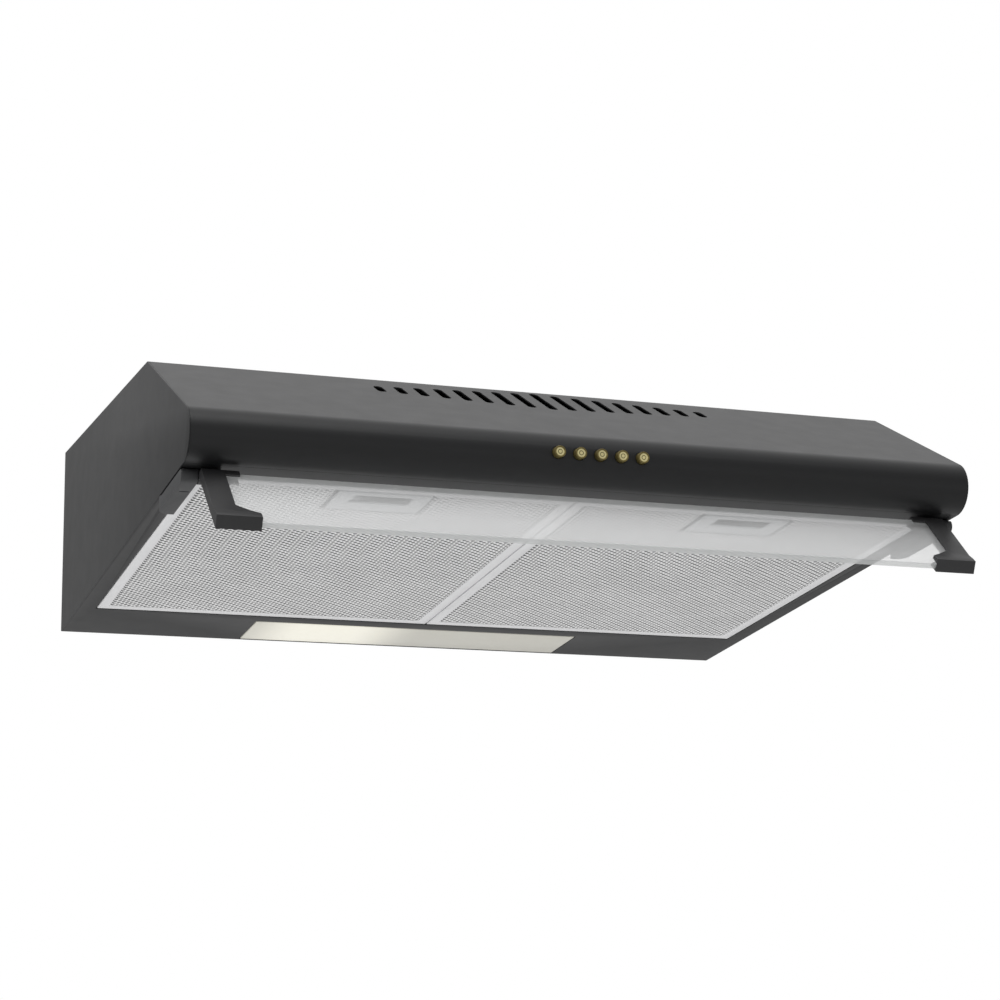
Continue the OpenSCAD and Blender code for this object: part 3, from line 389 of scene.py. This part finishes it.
FORWARD, UP = underside_axes()
side_low, side_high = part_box("left_side")
WALL_EDGE = Vector((0, side_high.y, side_low.z))


def on_underside(x, along, up):
    return Vector((x, 0, 0)) + WALL_EDGE + FORWARD * along + UP * up


def underside_span(node):
    """x and along-the-underside ranges of a node."""
    pts = [v.co - WALL_EDGE for v in nodes[node].data.vertices]
    along = [p.dot(FORWARD) for p in pts]
    return min(p.x for p in pts), max(p.x for p in pts), min(along), max(along)


# Diamonds of the expanded metal: size across and along the hood, share of a diamond that is strand,
# height of the sheet, its level over the underside, and how far the strands lean, as a share of the height
CELL_X = 6.6 * MM
CELL_A = 5.4 * MM
STRAND = 0.40
RISE = 0.6 * MM
LEVEL = 0.30 * MM
STRAND_LEAN = 0.35
# Width of the frame's lip, where the expanded metal isn't seen
LIP = 6.3 * MM
# How far the latch plate covers the expanded metal
PLATE_LAP = 1.5 * MM


def expanded_layer(bm, x0, x1, a0, a1, hole):
    """One sheet of diamonds; each strand leans, so the sheet catches the light in short dashes."""
    n_x = int((x1 - x0) / CELL_X)
    n_a = int((a1 - a0) / (CELL_A / 2))
    step_x = (x1 - x0) / n_x
    step_a = (a1 - a0) / n_a
    inner = 1 - STRAND
    for j in range(1, n_a):
        odd = j % 2
        for i in range(n_x + (0 if odd else 1)):
            cx = x0 + (i + 0.5 * odd) * step_x
            ca = a0 + j * step_a
            if not odd and i in (0, n_x):
                continue
            if hole[0] - step_x < cx < hole[1] + step_x and ca > hole[2] - 2 * step_a:
                continue
            outer = [
                (cx - step_x / 2, ca, LEVEL + RISE / 2),
                (cx, ca - step_a, LEVEL),
                (cx + step_x / 2, ca, LEVEL + RISE / 2),
                (cx, ca + step_a, LEVEL + RISE),
            ]
            middle = LEVEL + RISE / 2
            core = [
                (
                    cx + (p[0] - cx) * inner,
                    ca + (p[1] - ca) * inner,
                    middle + (p[2] - middle) * inner + STRAND_LEAN * RISE,
                )
                for p in outer
            ]
            vo = [bm.verts.new(on_underside(*p)) for p in outer]
            vi = [bm.verts.new(on_underside(*p)) for p in core]
            for k in range(4):
                n = (k + 1) % 4
                bm.faces.new((vo[k], vo[n], vi[n], vi[k])).material_index = 0


for side in ("left", "right"):
    x0, x1, a0, a1 = underside_span(side + "_filter_mesh")
    px0, px1, pa0, pa1 = underside_span(side + "_latch_plate")
    hole = (px0 + PLATE_LAP, px1 - PLATE_LAP, pa0 + PLATE_LAP)
    bm = bmesh.new()
    bm.from_mesh(nodes[side + "_filter_mesh"].data)
    # The filter's flat mesh faces under the diamonds carry the painted shade of the inner layers
    for face in bm.faces:
        face.material_index = 1
    expanded_layer(bm, x0 + LIP, x1 - LIP, a0 + LIP, a1 - LIP, hole)
    mesh = bpy.data.meshes.new(side + "_mesh_pack")
    bm.to_mesh(mesh)
    bm.free()
    mesh.materials.append(mesh_metal)
    mesh.materials.append(mesh_inner_shade)
    pack = bpy.data.objects.new(side + "_mesh_pack", mesh)
    scene.collection.objects.link(pack)
    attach(pack, side + "_filter")
    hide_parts(side + "_filter_mesh")


for name in (
    "canopy", "duct_collar", "flap_pin", "rear_flap", "front_flap", "cable_gland", "hinge_pins", "lamp",
    "lamp_holder", "scroll_casing", "impeller", "motor_shaft", "capacitor", "diverter_flap", "motor_stator",
    "rotor", "motor_windings", "motor_bushes", "housing_screws", "motor_screws", "inlet_grille",
    "scroll_cover",
):
    smooth_node(name)


# ---- Studio ----

# How far the floor is under the hood, in metres
FLOOR_DROP = 1.35
# Light of the surroundings at heights from straight down (0) to straight up (1), on the wall side and
# in front
BACK_LIGHT = ((0.0, 1.0), (0.29, 0.34), (0.60, 0.36), (0.81, 1.0), (1.0, 1.0))
FRONT_LIGHT = ((0.0, 1.0), (0.3, 0.5), (0.5, 0.68), (0.75, 0.25), (1.0, 0.7))


def make_floor():
    mesh = bpy.data.meshes.new("floor")
    half = 14.0
    z = cad_low.z - FLOOR_DROP
    corners = [(-half, -half, z), (half, -half, z), (half, half, z), (-half, half, z)]
    mesh.from_pydata(corners, [], [(0, 1, 2, 3)])
    m = Nodes("floor")
    m.set(Roughness=0.9)
    m.link(m.mix(m.noise(400.0, 2.0), (0.70, 0.70, 0.70), (0.74, 0.74, 0.74)), m.bsdf.inputs["Base Color"])
    mesh.materials.append(m.mat)
    obj = bpy.data.objects.new("floor", mesh)
    scene.collection.objects.link(obj)
    obj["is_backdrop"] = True


def make_world():
    """White to the camera; as light it is bright above and below, and dimmer at the height of the hood."""
    world = bpy.data.worlds.new("studio")
    world.use_nodes = True
    scene.world = world
    tree = world.node_tree
    lit = tree.nodes["Background"]
    seen = tree.nodes.new("ShaderNodeBackground")
    seen.inputs["Color"].default_value = (1, 1, 1, 1)
    tex = tree.nodes.new("ShaderNodeTexCoord")
    split = tree.nodes.new("ShaderNodeSeparateXYZ")
    tree.links.new(tex.outputs["Generated"], split.inputs[0])
    height = tree.nodes.new("ShaderNodeMapRange")
    height.inputs["From Min"].default_value = -1
    tree.links.new(split.outputs["Z"], height.inputs["Value"])

    def by_height(stops):
        ramp = tree.nodes.new("ShaderNodeValToRGB")
        ramp.color_ramp.interpolation = "EASE"
        elements = ramp.color_ramp.elements
        while len(elements) < len(stops):
            elements.new(0.5)
        for element, (place, value) in zip(elements, stops):
            element.position = place
            element.color = (value, value, value, 1)
        tree.links.new(height.outputs["Result"], ramp.inputs["Fac"])
        return ramp.outputs["Color"]

    front = tree.nodes.new("ShaderNodeMapRange")
    front.interpolation_type = "SMOOTHSTEP"
    front.inputs["From Min"].default_value = 0.5
    front.inputs["From Max"].default_value = -0.4
    tree.links.new(split.outputs["Y"], front.inputs["Value"])
    blend = tree.nodes.new("ShaderNodeMix")
    blend.data_type = "RGBA"
    tree.links.new(front.outputs["Result"], blend.inputs["Factor"])
    tree.links.new(by_height(BACK_LIGHT), blend.inputs["A"])
    tree.links.new(by_height(FRONT_LIGHT), blend.inputs["B"])
    tree.links.new(blend.outputs["Result"], lit.inputs["Color"])
    lit.inputs["Strength"].default_value = 1.0
    path = tree.nodes.new("ShaderNodeLightPath")
    mix = tree.nodes.new("ShaderNodeMixShader")
    tree.links.new(path.outputs["Is Camera Ray"], mix.inputs["Fac"])
    tree.links.new(lit.outputs[0], mix.inputs[1])
    tree.links.new(seen.outputs[0], mix.inputs[2])
    tree.links.new(mix.outputs[0], tree.nodes["World Output"].inputs["Surface"])


def area(name, place, target, size, power):
    light = bpy.data.lights.new(name, "AREA")
    light.shape = "RECTANGLE"
    light.size, light.size_y = size
    light.energy = power
    obj = bpy.data.objects.new(name, light)
    obj.location = place
    obj.rotation_mode = "QUATERNION"
    obj.rotation_quaternion = (Vector(target) - Vector(place)).to_track_quat("-Z", "Y")
    scene.collection.objects.link(obj)
    return obj


# The fitted camera: rotation vector in degrees, place in metres, focal length in the picture's pixels
CAMERA_TURN = (-8.715, -19.636, 1.396)
CAMERA_PLACE = (-0.671, -1.9756, -0.4603)
CAMERA_FOCUS_PX = 2548.5
PICTURE_PX = 1000
SENSOR_MM = 36


def make_camera():
    """Camera of the photograph, from a fit to the hood's corners."""
    turn = Vector([math.radians(a) for a in CAMERA_TURN])
    base = Matrix(((1, 0, 0), (0, 0, -1), (0, 1, 0)))
    rows = Matrix.Rotation(turn.length, 3, turn.normalized()) @ base
    cam = bpy.data.objects.new("camera", bpy.data.cameras.new("camera"))
    cam.data.lens = CAMERA_FOCUS_PX / PICTURE_PX * SENSOR_MM
    cam.data.shift_y = 0.1
    cam.data.sensor_width = SENSOR_MM
    cam.data.clip_start, cam.data.clip_end = 0.05, 60
    right, down, ahead = rows[0], rows[1], rows[2]
    axes = Matrix((right, -down, -ahead)).transposed()
    cam.matrix_world = Matrix.Translation(CAMERA_PLACE) @ axes.to_4x4()
    scene.collection.objects.link(cam)
    scene.camera = cam


make_floor()
make_world()
area("key_above", (-0.6, -0.9, 1.9), (0, 0, 0), (2.2, 1.6), 26)
area("fill_left", (-2.4, -0.6, 0.3), (0, 0, -0.1), (1.6, 1.6), 16)
area("bounce_below", (0, 0.25, -1.3), (0, -0.1, -0.1), (2.0, 1.0), 3.0)
make_camera()
scene.view_settings.view_transform = "Standard"
scene.view_settings.look = "None"

low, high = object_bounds()
